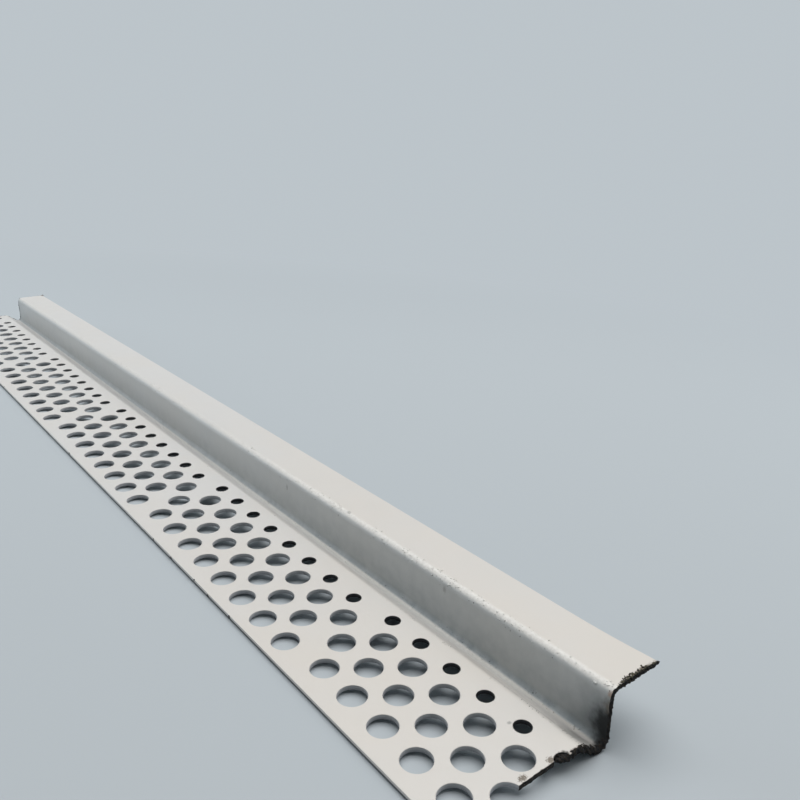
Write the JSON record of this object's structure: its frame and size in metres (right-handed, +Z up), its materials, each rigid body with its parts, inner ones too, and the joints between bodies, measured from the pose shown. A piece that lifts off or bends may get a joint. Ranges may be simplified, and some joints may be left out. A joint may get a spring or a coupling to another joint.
{
  "type": "drywall corner bead",
  "caption": "Short length of painted sheet-steel bead: perforated flange, V groove, upright web and a lip turned out over a rounded ridge.",
  "frame": {"origin": "centre of the outline's width and length, at floor level, where the flange's free edge and the bottom of the groove stand", "axes": "+Y along the strip, away from the end that the picture shows nearest; +X across it, from the perforated flange towards the lip; +Z up"},
  "size_m": [0.0318, 0.252, 0.0092],
  "materials": {
    "white_paint": "satin off-white coating on rolled sheet steel, bare dark metal on the cut ends"
  },
  "bodies": {
    "root": {"corner_bead": "white_paint"}
  },
  "joints": []
}
